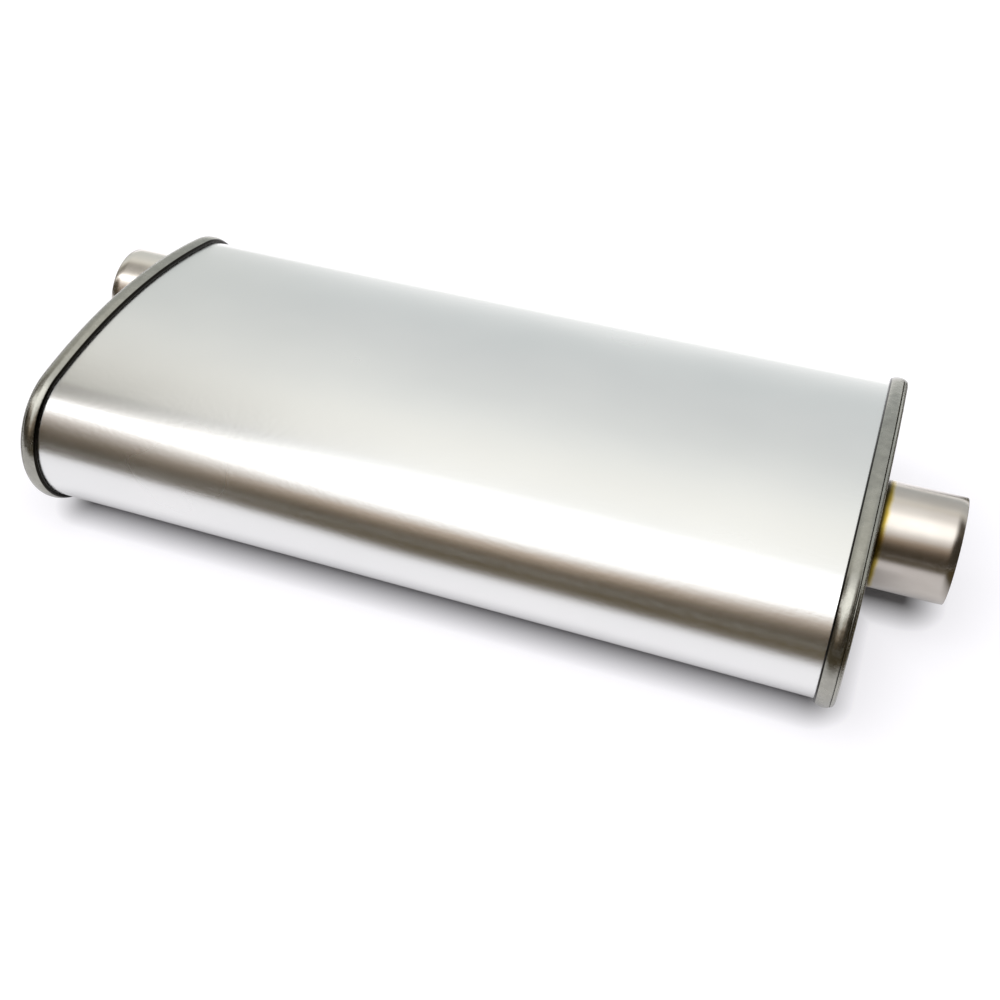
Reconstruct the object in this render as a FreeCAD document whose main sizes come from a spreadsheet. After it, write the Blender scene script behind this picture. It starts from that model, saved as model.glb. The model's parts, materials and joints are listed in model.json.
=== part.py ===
"""Oval reverse-flow muffler with a side inlet neck and a centre outlet neck.

Gas enters the neck at the -X end, well off the middle, and runs through the inlet
tube to the far chamber. It turns there, comes back through the return tube, turns
again in the near chamber and leaves through the outlet tube and the neck at +X.
The louvred middles of the three tubes let sound out into fibre packing.

The case is two oval sheets, one inside the other, with a stamped cap at each end.
Each cap has a skirt inside the sheets and a curl that hooks over their hemmed edge.
That curl is the seam, and the muffler rests on the undersides of its two seams.

Units are millimetres. X runs along the case, Y across it, Z up. The origin lies under
the middle, at the height of the seams' undersides.
"""
import FreeCAD, Part
import math
import os
import re

import Sketcher

Vector = FreeCAD.Vector

# Every driving size: its name, its value and what it measures.
SIZES = [
    ("case_length", 510.0, "over both end seams"),
    ("case_width", 256.0, "across the outer sheet"),
    ("case_height", 108.0, "over the outer sheet's crowns"),
    ("side_radius", 45.0, "of the two rounded sides"),
    ("wrap_gauge", 0.9, "thickness of the outer case sheet"),
    ("lining_gauge", 0.6, "thickness of the inner case sheet"),
    ("wrap_gap", 0.1, "between the two case sheets"),
    ("lock_seam_width", 12.0, "folded joint along the underside"),
    ("cap_gauge", 1.2, "thickness of an end cap"),
    ("seam_width", 10.0, "along the case, over the curl"),
    ("seam_fit", 0.1, "between the cap and the sheets"),
    ("hem_slack", 1.2, "from the hem to the crimp that holds it"),
    ("seam_bevel", 1.1, "outer edge of the curl, at the end of the case"),
    ("crimp_bevel", 0.7, "outer edge of the curl, towards the case"),
    ("panel_recess", 9.0, "from the end of the seam to the cap's face"),
    ("collar_height", 4.0, "lip pressed outwards round a neck's hole"),
    ("rib_width", 14.0, "stiffening rib pressed into a cap"),
    ("rib_rise", 2.5, "of that rib"),
    ("rib_bevel", 1.0, "outer edge of that rib"),
    ("upright_rib_length", 60.0, "ribs of the outlet cap"),
    ("upright_rib_place", 76.0, "from the middle to each of them"),
    ("level_rib_length", 104.0, "rib of the inlet cap"),
    ("level_rib_place", 36.0, "from the middle to the middle of that rib"),
    ("neck_bore", 63.7, "inside diameter, for a 63.5 mm pipe"),
    ("neck_gauge", 1.0, "wall of a neck"),
    ("neck_reach", 48.6, "beyond the seam"),
    ("neck_tail", 24.0, "inside the case, past the cap's face"),
    ("neck_fit", 0.15, "between a neck and its hole"),
    ("weld_leg", 4.0, "of the bead between neck and collar"),
    ("tube_gauge", 0.9, "wall of an inner tube"),
    ("tube_fit", 0.15, "between a tube and what it sits in"),
    ("tube_overhang", 10.0, "open tube end past its baffle"),
    ("tube_shift", 3.65, "of an outer tube, inwards from half way to the case's side"),
    ("baffle_gauge", 1.0, "thickness of a baffle"),
    ("baffle_flange", 12.0, "rim of a baffle, along the case"),
    ("baffle_fit", 0.2, "between a baffle's rim and the inner sheet"),
    ("end_chamber", 84.0, "from the end of the seam to a baffle"),
    ("louvre_length", 54.0, "along the tube"),
    ("louvre_width", 4.0, "round the tube"),
    ("louvre_pitch", 75.0, "from louvre to louvre along the tube"),
    ("director_gauge", 1.2, "thickness of a flow director"),
    ("director_height", 56.0, "up and down"),
    ("director_depth", 36.0, "from its back to its lip"),
    ("director_round", 26.0, "outside of its bend"),
    ("director_margin", 30.0, "from a tube's axis to the lip or foot beside it"),
    ("director_fit", 0.3, "between a director and the cap or neck"),
    ("packing_fit", 0.3, "between the packing and the metal"),
]
LOUVRES_EACH_SIDE = 2
LOUVRES_AROUND = 6

doc = FreeCAD.newDocument("muffler")
sheet = doc.addObject("Spreadsheet::Sheet", "Sizes")
for row, (alias, number, meaning) in enumerate(SIZES, start=1):
    sheet.set(f"A{row}", alias)
    sheet.set(f"B{row}", str(number))
    sheet.set(f"C{row}", meaning)
    sheet.setAlias(f"B{row}", alias)
doc.recompute()

# Places and offsets that follow from the sizes. X is counted from the middle of the
# case, and an inset is how far inside the outer sheet's outer face an outline lies.
CASE_END = "case_length / 2"
WRAP_END = f"({CASE_END} - cap_gauge - seam_fit)"
WRAPS = "(wrap_gauge + wrap_gap + lining_gauge)"
SEAM_RISE = "(wrap_gauge + seam_fit + cap_gauge)"
SEAM_START = f"({CASE_END} - seam_width)"
HEM_START = f"({SEAM_START} + cap_gauge + hem_slack)"
SKIRT = f"({WRAPS} + seam_fit)"
PANEL_OUT = f"({CASE_END} - panel_recess)"
PANEL_IN = f"({PANEL_OUT} - cap_gauge)"
MOUTH = f"({CASE_END} + neck_reach)"
NECK_RADIUS = "(neck_bore / 2 + neck_gauge)"
NECK_HOLE = f"({NECK_RADIUS} + neck_fit)"
COLLAR_RADIUS = f"({NECK_HOLE} + cap_gauge)"
TUBE_RADIUS = f"({NECK_RADIUS} + tube_fit + tube_gauge)"
TUBE_HOLE = f"({TUBE_RADIUS} + tube_fit)"
BAFFLE_RIM = f"({WRAPS} + baffle_fit)"
CHAMBER = f"({CASE_END} - end_chamber)"
SIDE_TUBE = f"(({TUBE_RADIUS} + case_width / 2 - {WRAPS}) / 2 - tube_shift)"
CENTRE_HEIGHT = f"case_height / 2 + {SEAM_RISE}"


def expression(text):
    """Write size names as cells of the sheet: every name has an underscore."""
    return re.sub(r"[a-z]+(?:_[a-z]+)+", lambda name: f"Sizes.{name[0]}", text)


def value(text):
    """Work out an expression of sizes now."""
    return float(sheet.evalExpression(expression(text)))


def bind(thing, place, text):
    thing.setExpression(place, expression(text))


def constrain(sketch, *terms):
    return sketch.addConstraint(Sketcher.Constraint(*terms))


def dimension(sketch, text, *terms):
    """Add a sketch dimension that follows the sheet."""
    index = constrain(sketch, *terms, value(text))
    bind(sketch, f"Constraints[{index}]", text)


def new_body(label, across="0", inlet_end=False):
    """Start a piece whose own X axis lies along the case at mid-height.

    A piece of the inlet end is drawn as if at +X and turned half round.
    """
    body = doc.addObject("PartDesign::Body", label)
    body.Label = label
    if inlet_end:
        body.Placement = FreeCAD.Placement(Vector(), FreeCAD.Rotation(Vector(0, 0, 1), 180))
    bind(body, "Placement.Base.y", across)
    bind(body, "Placement.Base.z", CENTRE_HEIGHT)
    return body


def new_sketch(body, name, plane, start="0"):
    sketch = body.newObject("Sketcher::SketchObject", name)
    origin_plane = next(item for item in body.Origin.OriginFeatures if item.Role == plane)
    sketch.AttachmentSupport = [(origin_plane, "")]
    sketch.MapMode = "FlatFace"
    bind(sketch, "AttachmentOffset.Base.z", start)
    return sketch


def oval(sketch, inset="0"):
    """Draw the case's outline of two side arcs and two crown arcs, moved inwards."""
    middle = "(case_width / 2 - side_radius)"
    crown = f"(({middle} ^ 2 + case_height ^ 2 / 4 - side_radius ^ 2) / (case_height - 2 * side_radius))"
    side_centre = value(middle)
    drop = value(f"{crown} - case_height / 2")
    side, top = value(f"side_radius - ({inset})"), value(f"{crown} - ({inset})")
    turn = math.atan2(drop, side_centre)
    arcs = [
        (Vector(side_centre, 0), side, -turn, turn),
        (Vector(0, -drop), top, turn, math.pi - turn),
        (Vector(-side_centre, 0), side, math.pi - turn, math.pi + turn),
        (Vector(0, drop), top, math.pi + turn, 2 * math.pi - turn),
    ]
    right, upper, left, lower = [
        sketch.addGeometry(Part.ArcOfCircle(Part.Circle(centre, Vector(0, 0, 1), radius), begin, end))
        for centre, radius, begin, end in arcs
    ]
    for first, second in ((right, upper), (upper, left), (left, lower), (lower, right)):
        constrain(sketch, "Tangent", first, 2, second, 1)
    for arc, place in ((right, middle), (left, f"-{middle}")):
        constrain(sketch, "PointOnObject", arc, 3, -1)
        dimension(sketch, place, "DistanceX", -1, 1, arc, 3)
    dimension(sketch, f"side_radius - ({inset})", "Radius", right)
    constrain(sketch, "Equal", right, left)
    dimension(sketch, f"{crown} - ({inset})", "Radius", upper)
    constrain(sketch, "Equal", upper, lower)


def circle(sketch, radius, across="0"):
    centre = Vector(value(across), 0)
    ring = sketch.addGeometry(Part.Circle(centre, Vector(0, 0, 1), value(radius)))
    dimension(sketch, radius, "Radius", ring)
    if abs(centre.x) < 1e-9:
        constrain(sketch, "Coincident", ring, 3, -1, 1)
    else:
        constrain(sketch, "PointOnObject", ring, 3, -1)
        dimension(sketch, across, "DistanceX", -1, 1, ring, 3)


def polygon(sketch, corners):
    """Draw a closed outline of straight lines through corners given as expressions."""
    points = [Vector(value(x), value(y)) for x, y in corners]
    lines = [
        sketch.addGeometry(Part.LineSegment(start, end))
        for start, end in zip(points, points[1:] + points[:1])
    ]
    for line, following in zip(lines, lines[1:] + lines[:1]):
        constrain(sketch, "Coincident", line, 2, following, 1)
    for line, point, (x, y) in zip(lines, points, corners):
        if abs(point.x) < 1e-9:
            constrain(sketch, "PointOnObject", line, 1, -2)
        else:
            dimension(sketch, x, "DistanceX", -1, 1, line, 1)
        if abs(point.y) < 1e-9:
            constrain(sketch, "PointOnObject", line, 1, -1)
        else:
            dimension(sketch, y, "DistanceY", -1, 1, line, 1)


def oblong(sketch, length, width, across="0", upright=False):
    """Draw a rounded rib: two straight sides and two half-round ends."""
    half, radius = value(f"({length}) / 2 - ({width}) / 2"), value(f"({width}) / 2")
    centre = Vector(value(across), 0)
    along = Vector(0, 1) if upright else Vector(1, 0)
    side = Vector(-along.y, along.x)
    heading = math.pi / 2 if upright else 0
    far, near = centre + along * half, centre - along * half
    ends = [
        sketch.addGeometry(Part.ArcOfCircle(Part.Circle(middle, Vector(0, 0, 1), radius), begin, begin + math.pi))
        for middle, begin in ((far, heading - math.pi / 2), (near, heading + math.pi / 2))
    ]
    sides = [
        sketch.addGeometry(Part.LineSegment(far + side * radius, near + side * radius)),
        sketch.addGeometry(Part.LineSegment(near - side * radius, far - side * radius)),
    ]
    for first, second in ((ends[0], sides[0]), (sides[0], ends[1]), (ends[1], sides[1]), (sides[1], ends[0])):
        constrain(sketch, "Tangent", first, 2, second, 1)
    constrain(sketch, "Equal", ends[0], ends[1])
    dimension(sketch, f"({width}) / 2", "Radius", ends[0])
    for arc, sign in ((ends[0], ""), (ends[1], "-")):
        reach = f"{sign}(({length}) / 2 - ({width}) / 2)"
        if upright:
            dimension(sketch, across, "DistanceX", -1, 1, arc, 3)
            dimension(sketch, reach, "DistanceY", -1, 1, arc, 3)
        else:
            dimension(sketch, f"({across}) + {reach}", "DistanceX", -1, 1, arc, 3)
            if sign:
                continue
            constrain(sketch, "PointOnObject", arc, 3, -1)


def pad(body, name, draw, start, end):
    """Add material along the case from start to end, over the outline that is drawn."""
    sketch = new_sketch(body, f"{name}_outline", "YZ_Plane", start)
    draw(sketch)
    feature = body.newObject("PartDesign::Pad", name)
    feature.Profile = sketch
    bind(feature, "Length", f"({end}) - ({start})")
    doc.recompute()
    return feature


def pocket(body, name, draw, start, end):
    """Take material away along the case from start to end."""
    before = body.Shape.Volume
    sketch = new_sketch(body, f"{name}_outline", "YZ_Plane", start)
    draw(sketch)
    feature = body.newObject("PartDesign::Pocket", name)
    feature.Profile = sketch
    feature.Reversed = True
    bind(feature, "Length", f"({end}) - ({start})")
    doc.recompute()
    if body.Shape.Volume >= before:
        raise RuntimeError(f"{feature.Label} cuts nothing")
    return feature


def revolve(body, name, corners):
    """Turn an outline of (along, radius) corners about the piece's X axis."""
    sketch = new_sketch(body, f"{name}_profile", "XY_Plane")
    polygon(sketch, corners)
    feature = body.newObject("PartDesign::Revolution", name)
    feature.Profile = sketch
    feature.ReferenceAxis = (sketch, ["H_Axis"])
    feature.Angle = 360
    doc.recompute()
    return feature


def dress(kind, body, name, amount, wanted):
    """Fillet or chamfer the edges whose middles are the wanted points."""
    base = body.Tip

    def chosen(edge):
        middle = edge.valueAt((edge.FirstParameter + edge.LastParameter) / 2)
        return any(middle.distanceToPoint(point) < 0.01 for point in wanted)

    names = [f"Edge{index}" for index, edge in enumerate(base.Shape.Edges, start=1) if chosen(edge)]
    if len(names) != len(wanted):
        raise RuntimeError(f"{body.Label} {name}: {len(names)} edges, not {len(wanted)}")
    feature = body.newObject(f"PartDesign::{kind}", name)
    feature.Base = (base, names)
    bind(feature, "Radius" if kind == "Fillet" else "Size", amount)
    doc.recompute()


def oval_edges(place, inset):
    """Give the middles of the four arcs of one oval edge."""
    x = value(place)
    y, z = value(f"case_width / 2 - ({inset})"), value(f"case_height / 2 - ({inset})")
    return [Vector(x, y, 0), Vector(x, -y, 0), Vector(x, 0, z), Vector(x, 0, -z)]


def oval_ring(outer, inner):
    def draw(sketch):
        oval(sketch, outer)
        oval(sketch, inner)
    return draw


def make_outer_wrap():
    """Outer sheet, hemmed at both ends, its long edges folded together underneath."""
    body = new_body("outer_wrap")
    pad(body, "wall", oval_ring("0", "wrap_gauge"), f"-{WRAP_END}", WRAP_END)
    hem = oval_ring("-wrap_gauge", "wrap_gauge / 2")
    pad(body, "outlet_hem", hem, HEM_START, WRAP_END)
    pad(body, "inlet_hem", hem, f"-{WRAP_END}", f"-{HEM_START}")

    def lock_seam(sketch):
        top, bottom = "wrap_gauge / 2 - case_height / 2", "-2 * wrap_gauge - case_height / 2"
        left, right = "-lock_seam_width / 2", "lock_seam_width / 2"
        polygon(sketch, [(left, bottom), (right, bottom), (right, top), (left, top)])

    seam_reach = f"({SEAM_START} - hem_slack)"
    pad(body, "lock_seam", lock_seam, f"-{seam_reach}", seam_reach)
    y, z = value("lock_seam_width / 2"), value("-2 * wrap_gauge - case_height / 2")
    dress("Fillet", body, "lock_seam_folds", "wrap_gauge", [Vector(0, y, z), Vector(0, -y, z)])


def make_inner_wrap():
    """Inner sheet, trimmed flush with the outer one's folds."""
    body = new_body("inner_wrap")
    pad(body, "wall", oval_ring("wrap_gauge + wrap_gap", WRAPS), f"-{WRAP_END}", WRAP_END)


def make_end_cap(label, across, inlet_end, ribs):
    """Stamped cap: recessed face, skirt, and a curl crimped over the sheets' hem."""
    body = new_body(label, inlet_end=inlet_end)
    floor_inset = f"({SKIRT} + cap_gauge)"
    pad(body, "pan", lambda sketch: oval(sketch, SKIRT), PANEL_IN, CASE_END)
    pocket(body, "recess", lambda sketch: oval(sketch, floor_inset), PANEL_OUT, CASE_END)
    dress("Chamfer", body, "pan_fold", "cap_gauge", oval_edges(PANEL_IN, SKIRT))

    middle_inset = f"{SKIRT} + cap_gauge / 2"
    pad(body, "fold", oval_ring(f"-{SEAM_RISE}", middle_inset), f"{CASE_END} - cap_gauge", CASE_END)
    curl = oval_ring(f"-{SEAM_RISE}", f"cap_gauge - {SEAM_RISE}")
    pad(body, "curl", curl, SEAM_START, f"{CASE_END} - cap_gauge / 2")
    crimp = oval_ring(f"cap_gauge / 2 - {SEAM_RISE}", "-seam_fit")
    pad(body, "crimp", crimp, SEAM_START, f"{SEAM_START} + cap_gauge")
    dress("Chamfer", body, "fold_outside", "seam_bevel", oval_edges(CASE_END, f"-{SEAM_RISE}"))
    dress("Chamfer", body, "crimp_outside", "crimp_bevel", oval_edges(SEAM_START, f"-{SEAM_RISE}"))

    for index, (place, length, upright) in enumerate(ribs, start=1):
        def outside(sketch):
            oblong(sketch, length, "rib_width", place, upright)

        def inside(sketch):
            oblong(sketch, f"({length} - 2 * cap_gauge)", "rib_width - 2 * cap_gauge", place, upright)

        pad(body, f"rib_{index}", outside, f"{PANEL_IN} + cap_gauge / 2", f"{PANEL_OUT} + rib_rise")
        top = value(f"{PANEL_OUT} + rib_rise")
        far = value(f"({length}) / 2")
        near = value("rib_width / 2")
        y, z = (near, far) if upright else (far, near)
        middle = value(place)
        points = [Vector(top, middle + y, 0), Vector(top, middle - y, 0)]
        points += [Vector(top, middle, z), Vector(top, middle, -z)]
        dress("Chamfer", body, f"rib_{index}_edge", "rib_bevel", points)
        pocket(body, f"rib_{index}_hollow", inside, PANEL_IN, f"{PANEL_IN} + rib_rise")

    collar_end = f"{PANEL_OUT} + collar_height"
    pad(body, "collar", lambda sketch: circle(sketch, COLLAR_RADIUS, across), PANEL_IN, collar_end)
    pocket(body, "neck_hole", lambda sketch: circle(sketch, NECK_HOLE, across), PANEL_IN, collar_end)


def make_neck(label, across, inlet_end):
    """Pipe stub through the cap, its tail inside the end of an inner tube."""
    body = new_body(label, across, inlet_end)
    bore, tail = "neck_bore / 2", f"{PANEL_IN} - neck_tail"
    wall = [(tail, bore), (MOUTH, bore), (MOUTH, NECK_RADIUS), (tail, NECK_RADIUS)]
    revolve(body, "pipe", wall)


def make_weld(label, across, inlet_end):
    """Fillet bead run between the neck and the edge of its collar."""
    body = new_body(label, across, inlet_end)
    root = f"{PANEL_OUT} + collar_height"
    neck_side = f"{NECK_RADIUS} + neck_fit / 2"
    toe, crest = (f"{root} + weld_leg", neck_side), (root, f"{neck_side} + weld_leg / 2")
    revolve(body, "bead", [(root, neck_side), toe, crest])


TUBE_PLACES = (SIDE_TUBE, "0", f"-{SIDE_TUBE}")


def mirrored(place, inlet_end):
    """Give the place across the case in the frame of a piece that may be turned."""
    return f"-({place})" if inlet_end and place != "0" else place


def make_baffle(label, face, inlet_end=False):
    """Flanged partition with a lip round each of the three tubes."""
    body = new_body(label, inlet_end=inlet_end)
    back = f"({face} - baffle_gauge)"
    floor_inset = f"({BAFFLE_RIM} + baffle_gauge)"
    pad(body, "pan", lambda sketch: oval(sketch, BAFFLE_RIM), back, f"{back} + baffle_flange")
    pocket(body, "recess", lambda sketch: oval(sketch, floor_inset), face, f"{back} + baffle_flange")

    def circles(radius):
        def draw(sketch):
            for place in TUBE_PLACES:
                circle(sketch, radius, mirrored(place, inlet_end))
        return draw

    pocket(body, "tube_holes", circles(TUBE_HOLE), back, face)


def make_tube(label, across, start, end):
    """Inner tube, louvred all round where it passes through the packing."""
    body = new_body(label, across)
    bore = f"{TUBE_RADIUS} - tube_gauge"
    revolve(body, "pipe", [(start, bore), (end, bore), (end, TUBE_RADIUS), (start, TUBE_RADIUS)])
    plain = body.Shape.Volume
    sketch = new_sketch(body, "louvre_outline", "XY_Plane")
    for side in (-1, 1):
        for number in range(LOUVRES_EACH_SIDE):
            middle = f"{side * (number + 0.5)} * louvre_pitch"
            low, high = f"{middle} - louvre_length / 2", f"{middle} + louvre_length / 2"
            left, right = "-louvre_width / 2", "louvre_width / 2"
            polygon(sketch, [(low, left), (high, left), (high, right), (low, right)])
    louvres = body.newObject("PartDesign::Pocket", "louvres")
    louvres.Profile = sketch
    louvres.SideType = "Symmetric"
    bind(louvres, "Length", f"3 * {TUBE_RADIUS}")
    doc.recompute()
    around = body.newObject("PartDesign::PolarPattern", "louvres_around")
    around.Originals = [louvres]
    around.Axis = (sketch, ["H_Axis"])
    around.Occurrences = LOUVRES_AROUND // 2
    around.Angle = 180 - 360 / LOUVRES_AROUND
    body.Tip = around
    doc.recompute()
    if body.Shape.Volume >= plain:
        raise RuntimeError(f"{label} has no louvres")


def make_director(label, foot, lip, inlet_end):
    """Bent sheet on a cap's inner face that turns the gas from one tube to the next.

    It is flat from its foot and bends into a lip that stands beside the tube it faces.
    """
    body = new_body(label, inlet_end=inlet_end)
    sketch = new_sketch(body, "section", "XY_Plane")
    back = f"({PANEL_IN} - director_fit)"
    front = f"({back} - director_gauge)"
    lip_end = f"({back} - director_depth)"
    sign = "-" if value(lip) < value(foot) else "+"
    inner = f"({lip}) {'+' if sign == '-' else '-'} director_gauge"
    corners = [(back, foot), (back, lip), (lip_end, lip), (lip_end, inner), (front, inner), (front, foot)]
    polygon(sketch, corners)
    feature = body.newObject("PartDesign::Pad", "sheet")
    feature.Profile = sketch
    feature.SideType = "Symmetric"
    bind(feature, "Length", "director_height")
    doc.recompute()
    dress("Fillet", body, "outer_bend", "director_round", [Vector(value(back), value(lip), 0)])
    inner_bend = [Vector(value(front), value(inner), 0)]
    dress("Fillet", body, "inner_bend", "director_round - director_gauge", inner_bend)


def make_packing(label, inlet_side):
    """Fibre block that fills the chamber between two baffles round the three tubes."""
    body = new_body(label)
    # The middle baffle opens towards the outlet, so that block fits inside its rim.
    half = "baffle_gauge / 2"
    rim = f"({BAFFLE_RIM} + baffle_gauge + packing_fit)"
    start = f"{half} + packing_fit"
    end = f"{CHAMBER} - baffle_gauge - packing_fit"
    if inlet_side:
        start, end = f"-({end})", f"-({start})"
    pad(body, "block", lambda sketch: oval(sketch, rim), start, end)

    def bores(sketch):
        for place in TUBE_PLACES:
            circle(sketch, f"{TUBE_RADIUS} + packing_fit", place)

    pocket(body, "tube_bores", bores, start, end)


make_outer_wrap()
make_inner_wrap()
LEVEL_RIB = ("level_rib_place", "level_rib_length", False)
UPRIGHT_RIBS = [(place, "upright_rib_length", True) for place in ("upright_rib_place", "-upright_rib_place")]
make_end_cap("inlet_end_cap", f"-{SIDE_TUBE}", True, [LEVEL_RIB])
make_end_cap("outlet_end_cap", "0", False, UPRIGHT_RIBS)
make_neck("inlet_neck", SIDE_TUBE, True)
make_neck("outlet_neck", "0", False)
make_weld("inlet_neck_weld", SIDE_TUBE, True)
make_weld("outlet_neck_weld", "0", False)
make_baffle("inlet_end_baffle", CHAMBER, inlet_end=True)
make_baffle("middle_baffle", "(baffle_gauge / 2)")
make_baffle("outlet_end_baffle", CHAMBER)
OPEN_END = f"({CHAMBER} + tube_overhang)"
TUBE_SEAT = f"({PANEL_IN} - tube_fit)"
make_tube("inlet_tube", SIDE_TUBE, f"-{TUBE_SEAT}", OPEN_END)
make_tube("return_tube", f"-{SIDE_TUBE}", f"-{OPEN_END}", OPEN_END)
make_tube("outlet_tube", "0", f"-{OPEN_END}", TUBE_SEAT)
NECK_SIDE = f"({TUBE_RADIUS} + director_fit)"
OUTER_LIP = f"({SIDE_TUBE} + director_margin)"
make_director("inlet_turn_director", NECK_SIDE, OUTER_LIP, False)
make_director("return_turn_director", f"-{NECK_SIDE}", f"-{OUTER_LIP}", False)
make_director("return_exit_director", "director_margin + director_fit", OUTER_LIP, True)
make_director("outlet_turn_director", "director_margin", "-director_margin", True)
make_packing("inlet_side_packing", True)
make_packing("outlet_side_packing", False)

doc.recompute()
for item in doc.Objects:
    if "Invalid" in item.State or "Error" in item.State:
        raise RuntimeError(f"{item.Label}: {item.State}")
os.makedirs("parts", exist_ok=True)
for piece in doc.Objects:
    if piece.TypeId != "PartDesign::Body":
        continue
    shape = piece.Shape
    if shape.isNull() or not shape.isValid() or len(shape.Solids) != 1:
        raise RuntimeError(f"{piece.Label} is not one valid solid")
    shape.exportStep(f"parts/{piece.Label}.step")
    print(piece.Label, round(shape.Volume / 1000, 2), "cm3")
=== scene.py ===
# %% [markdown]
# # An oval exhaust muffler
# The muffler is a can of thin aluminised steel. Two oval sheets are wrapped one inside
# the other, and a stamped cap is rolled over their edges at each end. A short pipe, the
# neck, is welded into each cap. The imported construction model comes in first, and each
# piece whose surface is seen is then made again with smooth bends.

# %% Frame and tools
import json
import math

import bmesh
import bpy
from mathutils import Matrix, Vector


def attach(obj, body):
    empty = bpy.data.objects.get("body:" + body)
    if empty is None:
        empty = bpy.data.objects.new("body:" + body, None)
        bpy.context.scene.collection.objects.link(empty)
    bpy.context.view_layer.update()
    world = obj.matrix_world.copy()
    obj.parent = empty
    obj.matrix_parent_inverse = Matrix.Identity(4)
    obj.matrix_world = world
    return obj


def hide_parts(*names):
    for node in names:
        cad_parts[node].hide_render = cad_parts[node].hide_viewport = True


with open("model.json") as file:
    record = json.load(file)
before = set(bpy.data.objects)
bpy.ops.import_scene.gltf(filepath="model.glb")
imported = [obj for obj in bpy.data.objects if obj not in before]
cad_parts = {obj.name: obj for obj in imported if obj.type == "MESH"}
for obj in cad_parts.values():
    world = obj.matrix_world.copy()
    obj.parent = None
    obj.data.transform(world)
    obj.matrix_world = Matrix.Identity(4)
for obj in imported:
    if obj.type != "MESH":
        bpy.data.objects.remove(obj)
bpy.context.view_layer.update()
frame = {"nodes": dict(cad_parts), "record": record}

MM = 0.001

# %% [markdown]
# ## Camera
# The camera stands in front of the case, to the right of its middle, and looks down on
# it by 40 degrees. Its place was worked out from the outlines of the seams and
# necks, so the model can be laid over the photograph.

# %% Camera
yaw, pitch, roll = -0.337210, 0.699025, 0.021423
forward = Vector((math.sin(yaw) * math.cos(pitch), math.cos(yaw) * math.cos(pitch), -math.sin(pitch)))
level = Vector((math.cos(yaw), -math.sin(yaw), 0))
upright = level.cross(forward)
right = math.cos(roll) * level + math.sin(roll) * upright
up = math.cos(roll) * upright - math.sin(roll) * level

lens = bpy.data.cameras.new("camera")
lens.sensor_width = 36
lens.lens = 46.144
camera = bpy.data.objects.new("camera", lens)
camera.matrix_world = Matrix((right, up, -forward)).transposed().to_4x4()
camera.location = Vector((235.697, -622.630, 563.442)) * MM
bpy.context.scene.collection.objects.link(camera)
bpy.context.scene.camera = camera
print("camera is", round(camera.location.length, 3), "m from the muffler's foot")

# %% [markdown]
# ## Finishes
# Every finish here is steel or glass fibre. A bare metal has no colour of its own apart
# from what it reflects, so its base colour is pale and nearly grey, and its roughness
# and its fine bumps decide how it looks. One helper adds a node, one turns a hex colour
# to linear light, and one starts a metal.

# %% Helpers for materials
def linear(hex_colour):
    """Turn an sRGB hex colour into the linear colour that a shader takes."""
    parts = [int(hex_colour[place:place + 2], 16) / 255 for place in (1, 3, 5)]
    return (*[part / 12.92 if part <= 0.04045 else ((part + 0.055) / 1.055) ** 2.4 for part in parts], 1)


def add(tree, kind, inputs=None, **settings):
    """Add a node with its settings. An input is a value or another node's output."""
    made = tree.nodes.new(f"ShaderNode{kind}")
    for name, setting in settings.items():
        setattr(made, name, setting)
    for socket, given in (inputs or {}).items():
        if isinstance(given, bpy.types.NodeSocket):
            tree.links.new(given, made.inputs[socket])
        else:
            made.inputs[socket].default_value = given
    return made


def new_metal(name):
    """Start a metal and give back its material, its node tree and its shader."""
    material = bpy.data.materials.new(name)
    material.use_nodes = True
    shader = material.node_tree.nodes["Principled BSDF"]
    shader.inputs["Metallic"].default_value = 1
    return material, material.node_tree, shader


def set_stops(ramp, stops):
    """Give a ramp its places from 0 to 1 and their hex colours, and give back its colour."""
    elements = ramp.color_ramp.elements
    elements[0].position, elements[0].color = stops[0][0], linear(stops[0][1])
    elements[1].position, elements[1].color = stops[-1][0], linear(stops[-1][1])
    for place, colour in stops[1:-1]:
        elements.new(place).color = linear(colour)
    return ramp.outputs["Color"]


def clouds(tree, size, stretch=(1, 1, 1), detail=2.0, roughness=0.5):
    """Soft patches of about the given size in metres, longer where stretch is above 1."""
    place = add(tree, "TexCoord").outputs["Object"]
    scale = [1 / (size * along) for along in stretch]
    place = add(tree, "Mapping", {"Vector": place, "Scale": scale}).outputs["Vector"]
    noise = add(tree, "TexNoise", {"Vector": place, "Scale": 1.0, "Detail": detail, "Roughness": roughness})
    return noise.outputs["Fac"]


# %% [markdown]
# ### Aluminised sheet
# The case is cold-rolled steel dipped in aluminium and silicon. Rolling leaves faint
# lines along the sheet, and the dip leaves a dull mottle, so reflections are hazy with
# grainy edges. Handling leaves a few dull smudges.

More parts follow.
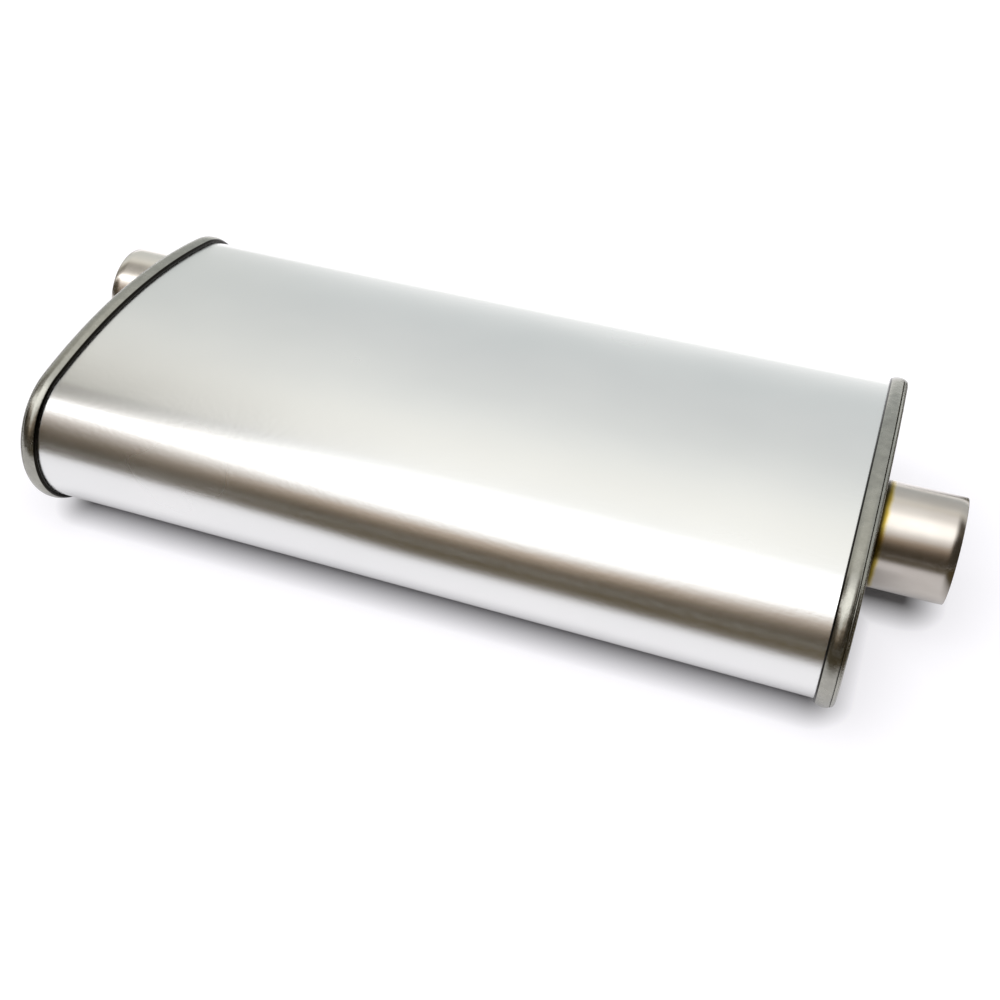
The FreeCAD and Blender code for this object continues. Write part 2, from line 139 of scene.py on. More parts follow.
# %% Finish of the case
def aluminised_sheet():
    """Satin aluminised steel: bright, hazy, faintly mottled, rolled along its length."""
    material, tree, shader = new_metal("aluminised_sheet_satin")
    # Rolling lines are about 0.3 mm apart, drawn 0.9 mm apart so that they show.
    lines = clouds(tree, 0.9 * MM, stretch=(60, 1, 1), detail=1.0)
    mottle = clouds(tree, 2.6 * MM, stretch=(1.5, 1, 1), detail=1.0)
    smudges = clouds(tree, 70 * MM, stretch=(1.5, 1, 1), detail=2.0)
    shades = {0: smudges, 6: linear("#E3E4E3"), 7: linear("#EFEFED")}
    colour = add(tree, "Mix", shades, data_type="RGBA").outputs[2]
    tree.links.new(colour, shader.inputs["Base Color"])
    haze = add(tree, "MapRange", {"Value": smudges, "To Min": 0.22, "To Max": 0.30})
    tree.links.new(haze.outputs["Result"], shader.inputs["Roughness"])
    relief = add(tree, "Bump", {"Height": mottle, "Distance": 0.03 * MM, "Strength": 1.0}).outputs["Normal"]
    relief = add(tree, "Bump", {"Height": lines, "Distance": 0.006 * MM, "Strength": 1.0, "Normal": relief})
    tree.links.new(relief.outputs["Normal"], shader.inputs["Normal"])
    return material


case_finish = aluminised_sheet()
print("finish:", case_finish.name)

# %% [markdown]
# ### Pressed caps
# The caps are the same kind of sheet, but pressing and rolling crushed its coating, so
# they are duller, greyer and a little green, with stretch marks round the curl.

# %% Finish of the caps
def pressed_cap_sheet():
    """Dull aluminised steel, crushed by the rollers: grey-olive, lined round the curl."""
    material, tree, shader = new_metal("pressed_aluminised_sheet")
    patches = clouds(tree, 6 * MM, detail=3.0, roughness=0.6)
    rolled = clouds(tree, 1.1 * MM, stretch=(1, 40, 40), detail=2.0)
    shades = {0: patches, 6: linear("#8C8B84"), 7: linear("#B1B0A7")}
    colour = add(tree, "Mix", shades, data_type="RGBA").outputs[2]
    # The sheared edge of the lip has no coating, and it is painted nearly black as well, a painted shade of
    # the groove between the lip and the outer sheet.
    place = add(tree, "SeparateXYZ", {0: add(tree, "TexCoord").outputs["Object"]})
    along = add(tree, "Math", {0: place.outputs["X"]}, operation="ABSOLUTE").outputs[0]
    bare, coated = 245.45 * MM, 245.65 * MM
    edge = add(tree, "MapRange", {"Value": along, "From Min": coated, "From Max": bare})
    shades = {0: edge.outputs["Result"], 6: colour, 7: linear("#1E1C18")}
    colour = add(tree, "Mix", shades, data_type="RGBA").outputs[2]
    tree.links.new(colour, shader.inputs["Base Color"])
    haze = add(tree, "MapRange", {"Value": patches, "To Min": 0.17, "To Max": 0.34})
    tree.links.new(haze.outputs["Result"], shader.inputs["Roughness"])
    relief = add(tree, "Bump", {"Height": rolled, "Distance": 0.03 * MM, "Strength": 1.0}).outputs["Normal"]
    relief = add(tree, "Bump", {"Height": patches, "Distance": 0.16 * MM, "Strength": 1.0, "Normal": relief})
    tree.links.new(relief.outputs["Normal"], shader.inputs["Normal"])
    return material


cap_finish = pressed_cap_sheet()
print("finish:", cap_finish.name)

# %% [markdown]
# ### Neck pipe
# The necks are drawn tube, a little warmer than the case. The inlet's copy of the finish is painted lighter
# than the outlet's, which is painted light. Welding heat tints the pipe straw, then olive, for some
# millimetres from the bead, and the part right next to the cap's seam is painted nearly black, a painted
# shade of the recess there.

# %% Finish of the necks
def drawn_tube(name, root, low, high):
    """Drawn steel tube, heat tinted where it leaves the weld at root, in metres, and painted nearly black
    right at the root as painted shade.
    """
    material, tree, shader = new_metal(name)
    place = add(tree, "TexCoord").outputs["Object"]
    along = add(tree, "Math", {0: add(tree, "SeparateXYZ", {0: place}).outputs["X"]}, operation="ABSOLUTE")
    wander = clouds(tree, 9 * MM, detail=1.0)
    edge = add(tree, "Math", {0: wander, 1: 1.5 * MM, 2: along.outputs[0]}, operation="MULTIPLY_ADD")
    darkest, coolest = root + 2.2 * MM, root + 8.5 * MM
    heat_and_shade = add(tree, "MapRange", {"Value": edge.outputs[0], "From Min": darkest, "From Max": coolest})
    # Nearly black at first, a painted shade of the recess behind the cap's seam; the olive and straw after
    # it are heat tint.
    tint_and_shade = set_stops(add(tree, "ValToRGB", {"Fac": heat_and_shade.outputs["Result"]}), [
        (0.0, "#0C0A05"), (0.28, "#332B12"), (0.52, "#86742F"), (0.75, "#B5A468"), (1.0, "#C6BFB0"),
    ])
    cool = add(tree, "MapRange", {"Value": heat_and_shade.outputs["Result"], "From Min": 0.6}).outputs["Result"]
    shades = {0: clouds(tree, 12 * MM, stretch=(2, 1, 1)), 6: linear(low), 7: linear(high)}
    bare = add(tree, "Mix", shades, data_type="RGBA").outputs[2]
    colour = add(tree, "Mix", {0: cool, 6: tint_and_shade, 7: bare}, data_type="RGBA").outputs[2]
    tree.links.new(colour, shader.inputs["Base Color"])
    haze = add(tree, "MapRange", {"Value": wander, "To Min": 0.20, "To Max": 0.26})
    tree.links.new(haze.outputs["Result"], shader.inputs["Roughness"])
    return material


NECK_ROOT = 255 * MM
# The inlet's copy is painted lighter than the outlet's, as painted light, because the room on that side
# mirrors darker.
outlet_tube = drawn_tube("drawn_steel_tube_dull", NECK_ROOT, "#B6AFA7", "#C5C0B9")
lit_inlet_tube = drawn_tube("drawn_steel_tube_bright", NECK_ROOT, "#E0DBD3", "#EAE6DF")
print("finishes:", outlet_tube.name, lit_inlet_tube.name)

# %% [markdown]
# ### Weld metal, inner sheets and glass fibre
# The bead is scaled brown and straw. The sheets inside are the same steel with its
# plain mill surface, and the packing is pale glass fibre, rough all over.

# %% Finishes of the weld and the inside
def weld_metal():
    """Steel weld bead under heat scale: brown and straw, half dull."""
    material, tree, shader = new_metal("scaled_weld_metal")
    scale = clouds(tree, 3 * MM, detail=3.0)
    shades = {0: scale, 6: linear("#4A4230"), 7: linear("#94855A")}
    colour = add(tree, "Mix", shades, data_type="RGBA").outputs[2]
    tree.links.new(colour, shader.inputs["Base Color"])
    haze = add(tree, "MapRange", {"Value": scale, "To Min": 0.3, "To Max": 0.55})
    tree.links.new(haze.outputs["Result"], shader.inputs["Roughness"])
    relief = add(tree, "Bump", {"Height": scale, "Distance": 0.08 * MM, "Strength": 1.0})
    tree.links.new(relief.outputs["Normal"], shader.inputs["Normal"])
    return material


def mill_sheet():
    """Aluminised steel as it left the mill: even grey with rolling lines."""
    material, tree, shader = new_metal("aluminised_sheet_mill")
    lines = clouds(tree, 1.0 * MM, stretch=(40, 1, 1), detail=1.0)
    shades = {0: lines, 6: linear("#B4B5B2"), 7: linear("#CBCCC9")}
    colour = add(tree, "Mix", shades, data_type="RGBA").outputs[2]
    tree.links.new(colour, shader.inputs["Base Color"])
    haze = add(tree, "MapRange", {"Value": clouds(tree, 20 * MM), "To Min": 0.34, "To Max": 0.46})
    tree.links.new(haze.outputs["Result"], shader.inputs["Roughness"])
    return material


def glass_fibre():
    """Continuous glass roving: cream, matt, with strands that cross each other."""
    material = bpy.data.materials.new("glass_fibre_roving")
    material.use_nodes = True
    tree = material.node_tree
    shader = tree.nodes["Principled BSDF"]
    strands = clouds(tree, 1.5 * MM, stretch=(1, 12, 1), detail=2.0)
    crossing = clouds(tree, 1.5 * MM, stretch=(12, 1, 1), detail=2.0)
    shades = {0: strands, 6: linear("#CFC9A8"), 7: linear("#F1EDDA")}
    colour = add(tree, "Mix", shades, data_type="RGBA").outputs[2]
    tree.links.new(colour, shader.inputs["Base Color"])
    shader.inputs["Roughness"].default_value = 0.9
    relief = add(tree, "Bump", {"Height": strands, "Distance": 0.4 * MM}).outputs["Normal"]
    relief = add(tree, "Bump", {"Height": crossing, "Distance": 0.4 * MM, "Normal": relief})
    tree.links.new(relief.outputs["Normal"], shader.inputs["Normal"])
    return material


weld_finish, mill_finish, fibre_finish = weld_metal(), mill_sheet(), glass_fibre()
print("finishes:", weld_finish.name, mill_finish.name, fibre_finish.name)

# %% [markdown]
# ## Oval sheets
# The case's oval is four arcs that run into each other: two sides of 45 mm radius and
# two flat crowns. A line drawn along the case and spun about the middle of each arc in
# turn gives the whole wall, and a line with more corners gives a rolled edge as well.
# Every corner that is bent on the real piece is then bevelled to its radius.

# %% Sizes of the oval
CASE_WIDTH, CASE_HEIGHT, SIDE_RADIUS = 256 * MM, 108 * MM, 45 * MM
SEAM_RISE = 2.2 * MM
MID_HEIGHT = CASE_HEIGHT / 2 + SEAM_RISE
SIDE_MIDDLE = CASE_WIDTH / 2 - SIDE_RADIUS
CROWN_RADIUS = (SIDE_MIDDLE ** 2 + CASE_HEIGHT ** 2 / 4 - SIDE_RADIUS ** 2) / (
    CASE_HEIGHT - 2 * SIDE_RADIUS)
CROWN_DROP = CROWN_RADIUS - CASE_HEIGHT / 2
SIDE_TURN = math.atan2(CROWN_DROP, SIDE_MIDDLE)
print("crown radius", round(CROWN_RADIUS / MM, 1), "mm")
print("side arc", round(math.degrees(2 * SIDE_TURN), 1), "degrees")


# %% Spinning an outline round the oval
def sweep_round_case(bm, outline, bends=()):
    """Spin (along, inset) points round the oval, then bend the numbered corners.

    An inset is how far inside the outer sheet's outer face a point lies. Each bend is
    a corner's number in the outline and its radius.
    """
    corner = bm.verts.layers.int.new("corner")
    start = Vector((0, math.cos(SIDE_TURN), -math.sin(SIDE_TURN)))
    points = []
    for number, (along, inset) in enumerate(outline):
        place = Vector((along, SIDE_MIDDLE, MID_HEIGHT)) + start * (SIDE_RADIUS - inset)
        points.append(bm.verts.new(place))
        points[-1][corner] = number + 1
    swept = points + [bm.edges.new(pair) for pair in zip(points, points[1:])]
    arcs = [
        ((0, SIDE_MIDDLE, MID_HEIGHT), 2 * SIDE_TURN, 64),
        ((0, 0, MID_HEIGHT - CROWN_DROP), math.pi - 2 * SIDE_TURN, 48),
        ((0, -SIDE_MIDDLE, MID_HEIGHT), 2 * SIDE_TURN, 64),
        ((0, 0, MID_HEIGHT + CROWN_DROP), math.pi - 2 * SIDE_TURN, 48),
    ]
    for centre, angle, steps in arcs:
        spun = bmesh.ops.spin(bm, geom=swept, cent=centre, axis=(1, 0, 0), angle=angle, steps=steps)
        swept = spun["geom_last"]
    bmesh.ops.remove_doubles(bm, verts=bm.verts, dist=0.001 * MM)
    for number, radius in bends:
        ring = [edge for edge in bm.edges if all(vert[corner] == number + 1 for vert in edge.verts)]
        bmesh.ops.bevel(
            bm, geom=ring, offset=radius, offset_type="OFFSET", affect="EDGES",
            segments=6, profile=0.5, material=-1,
        )


def finish_piece(name, bm, material, nodes, wall=0, sharp=50):
    """Recalculate the faces, give a sheet its wall where one is named, and make the object.

    The object stands for the construction nodes that are named.
    """
    bmesh.ops.remove_doubles(bm, verts=bm.verts, dist=0.001 * MM)
    bmesh.ops.recalc_face_normals(bm, faces=bm.faces)
    if wall:
        bmesh.ops.solidify(bm, geom=bm.faces, thickness=wall)
    mesh = bpy.data.meshes.new(name)
    bm.to_mesh(mesh)
    bm.free()
    mesh.shade_smooth()
    mesh.set_sharp_from_angle(angle=math.radians(sharp))
    mesh.materials.append(material)
    piece = bpy.data.objects.new(name, mesh)
    bpy.context.scene.collection.objects.link(piece)
    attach(piece, "root")
    if nodes:
        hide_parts(*nodes)
    print(name, len(mesh.polygons), "faces")
    return piece


# %% [markdown]
# ## Outer sheet
# The outer sheet is one oval wall from cap to cap. Its ends lie hidden under the seams.

# %% Outer sheet
SHEET_END, SHEET_GAUGE = 253.7 * MM, 0.9 * MM
bm = bmesh.new()
sweep_round_case(bm, [(-SHEET_END, 0), (SHEET_END, 0)])
outer_sheet = finish_piece("outer_sheet", bm, case_finish, ["outer_wrap"], wall=SHEET_GAUGE)

# %% [markdown]
# ## Lock seam
# The two long edges of the sheet are hooked into each other and pressed flat under the
# case. The joint stands out from the case by the thickness of two sheets and has a soft
# fold along both of its sides.

# %% Lock seam
SEAM_LENGTH, SEAM_WIDTH, SEAM_DEPTH = 487.6 * MM, 12 * MM, 1.8 * MM
case_bottom = MID_HEIGHT - CASE_HEIGHT / 2
bm = bmesh.new()
bmesh.ops.create_cube(bm, size=1)
bmesh.ops.scale(bm, vec=(SEAM_LENGTH, SEAM_WIDTH, SEAM_DEPTH + 0.4 * MM), verts=bm.verts)
bmesh.ops.translate(bm, vec=(0, 0, case_bottom + 0.2 * MM - SEAM_DEPTH / 2), verts=bm.verts)
lower = min(vert.co.z for vert in bm.verts)
folds = [edge for edge in bm.edges if all(abs(vert.co.z - lower) < 1e-6 for vert in edge.verts)]
folds = [edge for edge in folds if abs(edge.verts[0].co.y - edge.verts[1].co.y) < 1e-6]
bmesh.ops.bevel(
    bm, geom=folds, offset=0.9 * MM, offset_type="OFFSET", affect="EDGES",
    segments=5, profile=0.5, material=-1,
)
lock_seam = finish_piece("lock_seam", bm, case_finish, [])

# %% [markdown]
# ## End caps
# A cap is one sheet: a lip crimped down behind the hem, a curl round the edge, a wall
# that goes back into the case, and a face with stiffening ribs and a collar for the
# neck. The curl, wall and face are one outline spun round the oval. The collar is spun
# about the neck, and rings of faces join the two, so that ribs can be pressed into them.

# %% Sizes of a cap
CASE_END, SEAM_START = 255 * MM, 245.4 * MM
PANEL, CAP_GAUGE = 246 * MM, 1.2 * MM
COLLAR_RADIUS, COLLAR_END = 34.2 * MM, 250 * MM
SIDE_NECK = 76.5 * MM
cap_outline = [
    (SEAM_START + 0.6 * MM, -0.5 * MM),
    (SEAM_START, -1.1 * MM),
    (SEAM_START + 2.3 * MM, -2.4 * MM),
    (CASE_END - 2.5 * MM, -2.4 * MM),
    (CASE_END, -0.7 * MM),
    (CASE_END, 2.9 * MM),
    (PANEL, 2.9 * MM),
    (PANEL, 6.0 * MM),
]
cap_bends = [(1, 0.5 * MM), (2, 1.8 * MM), (3, 1.7 * MM), (4, 1.2 * MM), (5, 1.6 * MM), (6, 2.4 * MM)]
print("seam", round((CASE_END - SEAM_START) / MM, 1), "mm wide")
print("face", round((CASE_END - PANEL) / MM, 1), "mm deep")


# %% Pressing a rib
RIB_HALF_WIDTH, RIB_FLANK, RIB_HEIGHT = 7 * MM, 3 * MM, 2.5 * MM


def rib_height(y, z, across, length, upright):
    """How far a rib pushes the cap's face outwards at a point."""
    reach = length / 2 - RIB_HALF_WIDTH
    along, beside = (z, y - across) if upright else (y - across, z)
    outside = max(abs(along) - reach, 0)
    gap = RIB_HALF_WIDTH - math.hypot(outside, beside)
    rise = min(max(gap / RIB_FLANK, 0), 1)
    return RIB_HEIGHT * rise * rise * (3 - 2 * rise)


# %% Building a cap
def build_cap(name, node, hole, ribs, inlet_end):
    """Spin the curl and the collar, join them with the face and press its ribs."""
    bm = bmesh.new()
    sweep_round_case(bm, cap_outline, cap_bends)
    collar = [bm.verts.new((x, hole, MID_HEIGHT + radius)) for x, radius in
              ((PANEL, COLLAR_RADIUS + 1.8 * MM), (PANEL, COLLAR_RADIUS), (COLLAR_END, COLLAR_RADIUS))]
    profile = collar + [bm.edges.new(pair) for pair in zip(collar, collar[1:])]
    bmesh.ops.spin(
        bm, geom=profile, cent=(0, hole, MID_HEIGHT), axis=(1, 0, 0), angle=2 * math.pi,
        steps=224, use_merge=True,
    )
    bmesh.ops.remove_doubles(bm, verts=bm.verts, dist=0.001 * MM)
    centre = Vector((hole, MID_HEIGHT))

    def at_root(vert):
        return abs(vert.co.x - PANEL) < 1e-6 and abs((vert.co.yz - centre).length - COLLAR_RADIUS) < 1e-5

    root = [edge for edge in bm.edges if all(at_root(vert) for vert in edge.verts)]
    bmesh.ops.bevel(
        bm, geom=root, offset=1.5 * MM, offset_type="OFFSET", affect="EDGES",
        segments=5, profile=0.5, material=-1,
    )
    rims = [edge for edge in bm.edges if edge.is_boundary]
    rims = [edge for edge in rims if all(abs(vert.co.x - PANEL) < 1e-6 for vert in edge.verts)]
    face = set(bmesh.ops.bridge_loops(bm, edges=rims)["faces"])
    spokes = [edge for edge in bm.edges if len(edge.link_faces) == 2 and set(edge.link_faces) <= face]
    bmesh.ops.subdivide_edges(bm, edges=spokes, cuts=100, use_grid_fill=True)
    for vert in bm.verts:
        if abs(vert.co.x - PANEL) < 1e-6:
            vert.co.x += max(rib_height(vert.co.y, vert.co.z - MID_HEIGHT, *rib) for rib in ribs)
    if inlet_end:
        bmesh.ops.rotate(bm, verts=bm.verts, cent=(0, 0, 0), matrix=Matrix.Rotation(math.pi, 3, "Z"))
    cap = finish_piece(name, bm, cap_finish, [node])
    # The recalculated faces of this open sheet look inwards, so the wall that is meant
    # for its inside lies on its outside.
    sheet = cap.modifiers.new("sheet", "SOLIDIFY")
    sheet.thickness = CAP_GAUGE
    sheet.offset = -1
    return cap


# %% The two caps
upright_ribs = [(76 * MM, 60 * MM, True), (-76 * MM, 60 * MM, True)]
level_rib = [(36 * MM, 104 * MM, False)]
outlet_cap = build_cap("outlet_cap", "outlet_end_cap", 0, upright_ribs, False)
inlet_cap = build_cap("inlet_cap", "inlet_end_cap", -SIDE_NECK, level_rib, True)

# %% [markdown]
# ## Necks
# Each neck is a short piece of tube. Its end was ground back after cutting, so the last
# few millimetres of its outside run in a little to a blunt rim. The bore stays straight.

# %% Necks
def build_neck(name, node, across, inlet_end, finish):
    """Spin the wall of a neck, ground back at its open end, about the neck's axis."""
    bm = bmesh.new()
    inner_end, bore, outside = 220.8, 31.85, 32.85
    wall = [
        (inner_end, bore), (303.6, bore), (303.6, 32.35), (303.3, 32.65),
        (298.4, 32.83), (297.0, outside), (inner_end, outside),
    ]
    corners = [bm.verts.new((x * MM, 0, radius * MM)) for x, radius in wall]
    profile = corners + [bm.edges.new(pair) for pair in zip(corners, corners[1:] + corners[:1])]
    bmesh.ops.spin(
        bm, geom=profile, cent=(0, 0, 0), axis=(1, 0, 0), angle=2 * math.pi, steps=160, use_merge=True,
    )
    if inlet_end:
        bmesh.ops.rotate(bm, verts=bm.verts, cent=(0, 0, 0), matrix=Matrix.Rotation(math.pi, 3, "Z"))
    bmesh.ops.translate(bm, vec=(0, across, MID_HEIGHT), verts=bm.verts)
    return finish_piece(name, bm, finish, [node])


inlet_pipe = build_neck("inlet_pipe", "inlet_neck", SIDE_NECK, True, lit_inlet_tube)
outlet_pipe = build_neck("outlet_pipe", "outlet_neck", 0, False, outlet_tube)

# %% [markdown]
# ## Weld beads
# A bead run by hand freezes in ripples, like a row of scales. Its cross-section is spun
# round the neck, and every ring is then swelled or shrunk by the ripple.

# %% Weld beads
def build_bead(name, node, across, inlet_end):
    """Spin a rounded cross-section about the neck and swell it ripple by ripple."""
    bm = bmesh.new()
    section = [(249.6, 33.2), (249.6, 34.7), (250.6, 35.1), (252.4, 34.5), (254.1, 33.4), (254.6, 32.7)]
    corners = [bm.verts.new((x * MM, 0, radius * MM)) for x, radius in section]
    profile = corners + [bm.edges.new(pair) for pair in zip(corners, corners[1:] + corners[:1])]
    bmesh.ops.spin(
        bm, geom=profile, cent=(0, 0, 0), axis=(1, 0, 0), angle=2 * math.pi, steps=320, use_merge=True,
    )
    for vert in bm.verts:
        radius = vert.co.yz.length
        angle = math.atan2(vert.co.y, vert.co.z)
        ripple = abs(math.sin(36 * angle + 0.6 * math.sin(5 * angle)))
        swell = 0.32 * MM * (ripple - 0.5) * min(max((radius - 33 * MM) / (1.5 * MM), 0), 1)
        vert.co.yz = vert.co.yz * (radius + swell) / radius
        vert.co.x += 0.8 * swell
    if inlet_end:
        bmesh.ops.rotate(bm, verts=bm.verts, cent=(0, 0, 0), matrix=Matrix.Rotation(math.pi, 3, "Z"))
    bmesh.ops.translate(bm, vec=(0, across, MID_HEIGHT), verts=bm.verts)
    return finish_piece(name, bm, weld_finish, [node], sharp=80)


inlet_bead = build_bead("inlet_bead", "inlet_neck_weld", SIDE_NECK, True)
outlet_bead = build_bead("outlet_bead", "outlet_neck_weld", 0, False)

# %% [markdown]
# ## Pieces inside
# The tubes, baffles, directors and packing keep their construction shapes. They are
# seen only through the necks, so they get a finish and nothing else.

# %% Pieces inside
finishes = {"case_sheet": case_finish, "inner_steel": mill_finish, "fibre": fibre_finish}
shown = [node for node in frame["nodes"].values() if not node.hide_render]
slots = {part["node"]: part["material_slot"] for part in frame["record"]["subparts"]}
for node in shown:
    node.data.materials.clear()
    node.data.materials.append(finishes[slots[node.name]])
print(len(shown), "pieces keep their construction shape")

# %% [markdown]
# ## Floor
# The muffler stands on a pale sheet. The camera sees the sheet brighter than it is lit: by nothing under the
# case and the necks, by most of it three centimetres away, and by all of it from twenty. So a painted shadow
# lies round the case and the necks, and it deepens and tightens the lamp's own shadow. The steel mirrors the
# sheet brighter too, but only as far as its front edge and a line to the right of the case, past which lies
# a brown table.

# %% Floor
bm = bmesh.new()
bmesh.ops.create_grid(bm, x_segments=1, y_segments=1, size=6)
floor_mesh = bpy.data.meshes.new("floor")
bm.to_mesh(floor_mesh)
bm.free()
floor = bpy.data.objects.new("floor", floor_mesh)
bpy.context.scene.collection.objects.link(floor)

paper = bpy.data.materials.new("white_paper")
paper.use_nodes = True
tree = paper.node_tree
tree.nodes.clear()
rays = add(tree, "LightPath")
place = add(tree, "SeparateXYZ", {0: add(tree, "TexCoord").outputs["Object"]})
# The sheet ends at a slanted front edge and on the right, for mirror rays alone.
slant = add(tree, "Math", {0: place.outputs["X"], 1: 0.05}, operation="ADD").outputs[0]
slant = add(tree, "Math", {0: slant, 1: 0.0}, operation="MINIMUM").outputs[0]
front = add(tree, "Math", {0: slant, 1: -0.45, 2: place.outputs["Y"]}, operation="MULTIPLY_ADD").outputs[0]
table = add(tree, "MapRange", {"Value": front, "From Min": -0.215, "From Max": -0.30}).outputs[0]
beside = add(tree, "MapRange", {"Value": place.outputs["X"], "From Min": 0.31, "From Max": 0.37}).outputs[0]
table = add(tree, "Math", {0: table, 1: beside}, operation="MAXIMUM").outputs[0]
table = add(tree, "Math", {0: table, 1: rays.outputs["Is Glossy Ray"]}, operation="MULTIPLY").outputs[0]


def distance_from(middle, half):
    """How far a point of the floor lies outside a rectangle, in metres."""
    spot = add(tree, "TexCoord").outputs["Object"]
    gap = add(tree, "VectorMath", {0: spot, 1: (*middle, 0)}, operation="SUBTRACT")
    gap = add(tree, "VectorMath", {0: gap.outputs[0]}, operation="ABSOLUTE")
    gap = add(tree, "VectorMath", {0: gap.outputs[0], 1: (*half, 0)}, operation="SUBTRACT")
    gap = add(tree, "VectorMath", {0: gap.outputs[0], 1: (0, 0, 0)}, operation="MAXIMUM")
    return add(tree, "VectorMath", {0: gap.outputs[0]}, operation="LENGTH").outputs["Value"]


# The case and the two necks, as rectangles on the floor, round which the shadow is painted.
reach = distance_from((0, 0), (0.240, 0.090))
for middle in ((0.255, 0.043), (-0.255, 0.119)):
    neck = distance_from(middle, (0.028, 0.034))
    reach = add(tree, "Math", {0: reach, 1: neck}, operation="MINIMUM").outputs[0]
# Light added for the camera: it grows with the distance, which paints a shadow round the muffler.
seen = {0: rays.outputs["Is Camera Ray"], 1: rays.outputs["Is Transmission Ray"]}
seen = add(tree, "Math", seen, operation="MAXIMUM")
away = add(tree, "MapRange", {"Value": reach, "From Min": 0.002, "From Max": 0.028, "To Max": 0.70})
far = add(tree, "MapRange", {"Value": reach, "From Min": 0.03, "From Max": 0.20, "To Max": 0.3})
away = add(tree, "Math", {0: away.outputs[0], 1: far.outputs[0]}, operation="ADD")
seen = add(tree, "Math", {0: seen.outputs[0], 1: away.outputs[0]}, operation="MULTIPLY").outputs[0]
# Light added for the mirror: more behind the muffler, and less within five centimetres, a painted shadow
# that the steel mirrors.
behind = {"Value": place.outputs["Y"], "From Max": 0.2, "To Min": 0.72, "To Max": 1.18}
behind = add(tree, "MapRange", behind)
close = add(tree, "MapRange", {"Value": reach, "From Max": 0.05, "To Min": 0.2})
behind = add(tree, "Math", {0: behind.outputs[0], 1: close.outputs[0]}, operation="MULTIPLY")
mirrored = add(tree, "Math", {0: rays.outputs["Is Glossy Ray"], 1: table}, operation="SUBTRACT").outputs[0]
lift = add(tree, "Math", {0: behind.outputs[0], 1: mirrored, 2: seen}, operation="MULTIPLY_ADD")
colour = add(tree, "Mix", {0: table, 6: linear("#9C9B9F"), 7: linear("#574C35")}, data_type="RGBA")
matt = add(tree, "BsdfDiffuse", {"Color": colour.outputs[2]})
glow = add(tree, "Emission", {"Color": linear("#FDFCFF"), "Strength": lift.outputs[0]})
both = add(tree, "AddShader", {0: matt.outputs[0], 1: glow.outputs[0]})
add(tree, "OutputMaterial", {"Surface": both.outputs[0]})
floor_mesh.materials.append(paper)
print("floor", [round(size, 1) for size in floor.dimensions])

# %% [markdown]
# ## Light
# Steel shows what stands round it. Here that is a pale wall behind the case, a ceiling of
# soft light above its front edge, and a darker brown room behind the camera, which gives
# the dark band under the bright one. All of it runs along the case, so the light is
# worked out from the angle across the case, counted from the wall over the ceiling to
# the dark room. Its tones were set by comparing the mirrored bands with the photograph
# from this one side. The camera itself sees the room as white.

# %% Room
world = bpy.data.worlds.new("room")
bpy.context.scene.world = world
world.use_nodes = True
tree = world.node_tree
tree.nodes.clear()
heading = add(tree, "SeparateXYZ", {0: add(tree, "TexCoord").outputs["Generated"]})
sideways = heading.outputs["X"]
across = add(tree, "Math", {0: heading.outputs["Z"], 1: heading.outputs["Y"]}, operation="ARCTAN2")
across = across.outputs[0]
across = add(tree, "Math", {0: across, 1: math.pi}, operation="DIVIDE").outputs[0]
# In front the bands are shifted with the heading along the case, as far as the mirrored
# bands in the photograph bend.
aside = add(tree, "Math", {0: sideways, 1: 0.25}, operation="ADD").outputs[0]
bow = add(tree, "Math", {0: aside, 1: aside}, operation="MULTIPLY").outputs[0]
fuller = add(tree, "MapRange", {"Value": sideways, "From Min": -0.10, "From Max": 0.0, "To Max": 0.040})
slack = add(tree, "MapRange", {"Value": sideways, "From Min": 0.01, "From Max": 0.05, "To Max": -0.080})
bow = add(tree, "Math", {0: bow, 1: 0.88, 2: fuller.outputs[0]}, operation="MULTIPLY_ADD").outputs[0]
bow = add(tree, "Math", {0: bow, 1: slack.outputs[0]}, operation="ADD").outputs[0]
front = add(tree, "MapRange", {"Value": across, "From Min": 0.55, "From Max": 0.70}).outputs["Result"]
across = add(tree, "Math", {0: bow, 1: front, 2: across}, operation="MULTIPLY_ADD").outputs[0]
# Colours from the wall to the dark room, for most headings and for those far to the left.
near_side = set_stops(add(tree, "ValToRGB", {"Fac": across}), [
    (0.00, "#FFFFFF"), (0.045, "#FFFFFF"), (0.06, "#DADEDE"), (0.10, "#D4D9DA"), (0.152, "#DCDFE0"),
    (0.203, "#E3E5E5"), (0.245, "#E8EAE9"), (0.27, "#F4F6F5"), (0.30, "#FFFFFB"), (0.335, "#FFFDF6"),
    (0.362, "#FBFAF5"), (0.387, "#FFFFFF"), (0.824, "#FFFFFF"), (0.854, "#DFC6AD"), (0.889, "#AD9882"),
    (0.924, "#7E6F5F"), (0.96, "#5D5346"), (1.00, "#4C4438"),
])
far_side = set_stops(add(tree, "ValToRGB", {"Fac": across}), [
    (0.00, "#F4F4F2"), (0.045, "#ECEDEB"), (0.06, "#D5D8D5"), (0.152, "#DBDEDC"), (0.255, "#E4E5E2"),
    (0.30, "#EBEAE4"), (0.335, "#E2DFD7"), (0.362, "#B4B0A6"), (0.387, "#8C887F"), (0.467, "#827E76"),
    (0.525, "#8C867D"), (0.565, "#C0B2A7"), (0.592, "#FFFFFF"), (0.769, "#FFFFFF"), (0.794, "#E6D0BC"),
    (0.824, "#B29D8A"),
    (0.854, "#8E7C6B"), (0.889, "#706251"), (0.929, "#574D3F"), (0.969, "#484033"), (1.00, "#484033"),
])
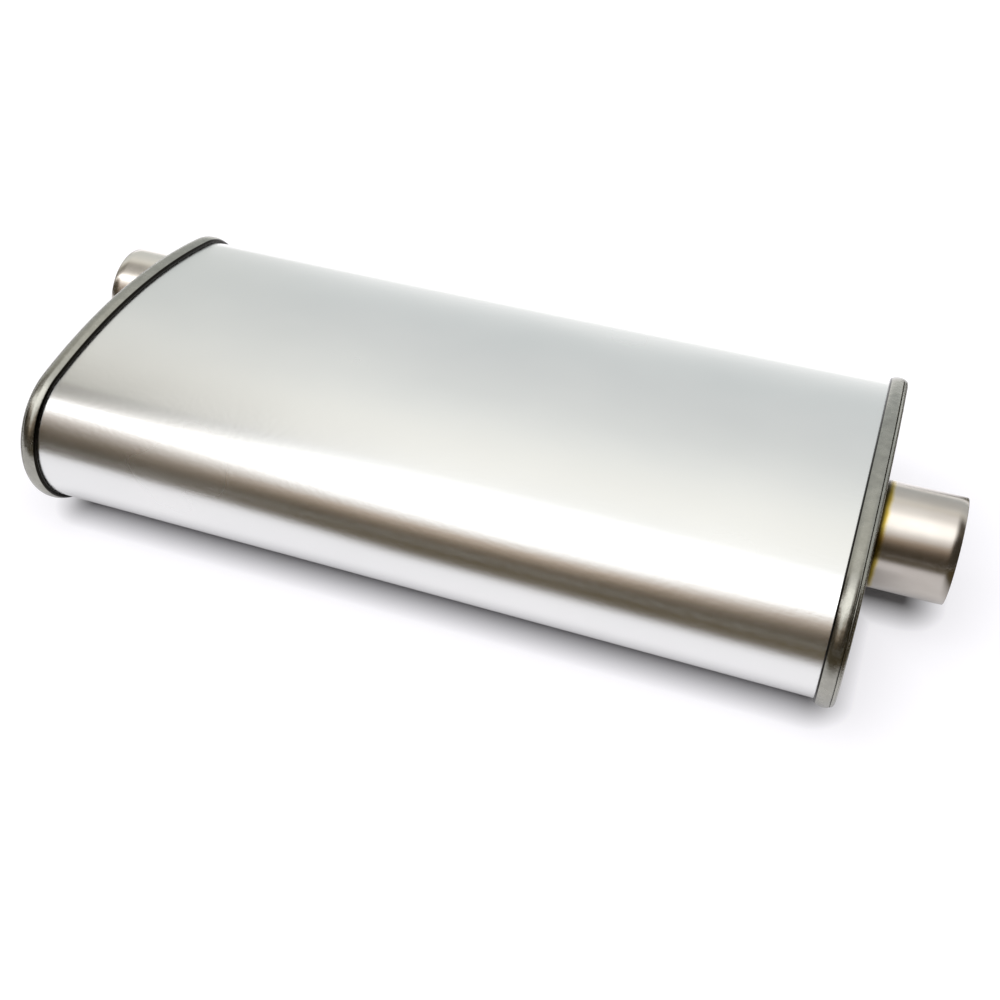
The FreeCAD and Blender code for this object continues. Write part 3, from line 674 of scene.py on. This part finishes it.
# How strongly the same places shine, for the same two.
near_glow = set_stops(add(tree, "ValToRGB", {"Fac": across}), [
    (0.00, "#929292"), (0.04, "#929292"), (0.055, "#000000"), (0.28, "#000000"), (0.30, "#404040"),
    (0.335, "#555555"), (0.362, "#555555"), (0.39, "#7A7A7A"), (0.45, "#929292"), (0.50, "#D0D0D0"),
    (0.54, "#FFFFFF"), (0.71, "#FFFFFF"), (0.77, "#B0B0B0"), (0.805, "#808080"), (0.835, "#000000"),
])
far_glow = set_stops(add(tree, "ValToRGB", {"Fac": across}), [
    (0.575, "#000000"), (0.61, "#929292"), (0.635, "#FFFFFF"), (0.70, "#FFFFFF"),
    (0.75, "#808080"), (0.78, "#000000"),
])
# The far tones take over to the left. To the right, except at the wall, and at the
# farthest left the room falls off to dark brown.
side = add(tree, "MapRange", {"Value": sideways, "From Min": -0.38, "From Max": -0.53}).outputs["Result"]
walls = add(tree, "Mix", {0: side, 6: near_side, 7: far_side}, data_type="RGBA").outputs[2]
ends = add(tree, "MapRange", {"Value": sideways, "From Min": 0.12, "From Max": 0.45}).outputs["Result"]
low = add(tree, "MapRange", {"Value": across, "From Min": 0.28, "From Max": 0.42}).outputs["Result"]
ends = add(tree, "Math", {0: ends, 1: low}, operation="MULTIPLY").outputs[0]
far_end = add(tree, "MapRange", {"Value": sideways, "From Min": -0.82, "From Max": -1.15}).outputs["Result"]
ends = add(tree, "Math", {0: ends, 1: far_end}, operation="MAXIMUM").outputs[0]
walls = add(tree, "Mix", {0: ends, 6: walls, 7: linear("#453F36")}, data_type="RGBA").outputs[2]
glowing = add(tree, "Mix", {0: side, 6: near_glow, 7: far_glow}, data_type="RGBA").outputs[2]
strength = add(tree, "MapRange", {"Value": glowing, "To Min": 1.0, "To Max": 2.4}).outputs["Result"]
# The camera sees white, and rays that light dull surfaces get under half the strength.
rays = add(tree, "LightPath")
camera_ray = rays.outputs["Is Camera Ray"]
view = add(tree, "Mix", {0: camera_ray, 6: walls, 7: linear("#FFFFFF")}, data_type="RGBA").outputs[2]
mirrored = add(tree, "MapRange", {"Value": rays.outputs["Is Glossy Ray"], "To Min": 0.42}).outputs["Result"]
strength = add(tree, "Math", {0: strength, 1: mirrored}, operation="MULTIPLY").outputs[0]
strength = add(tree, "Mix", {0: camera_ray, 2: strength, 3: 1.0}).outputs[0]
surround = add(tree, "Background", {"Color": view, "Strength": strength})
add(tree, "OutputWorld", {"Surface": surround.outputs[0]})
print("room set")

# %% Lamp
soft = bpy.data.lights.new("softbox", "AREA")
soft.shape = "RECTANGLE"
soft.size, soft.size_y = 2.0, 1.2
soft.energy = 20
lamp = bpy.data.objects.new("softbox", soft)
lamp.location = (0.1, -0.75, 1.3)
aim = Vector((0.1, 0, 0)) - lamp.location
lamp.rotation_euler = aim.to_track_quat("-Z", "Y").to_euler()
lamp.visible_glossy = False
bpy.context.scene.collection.objects.link(lamp)
print("lamp", soft.size, "by", soft.size_y, "m at", tuple(round(part, 2) for part in lamp.location))

# %% Colour
bpy.context.scene.view_settings.view_transform = "Standard"
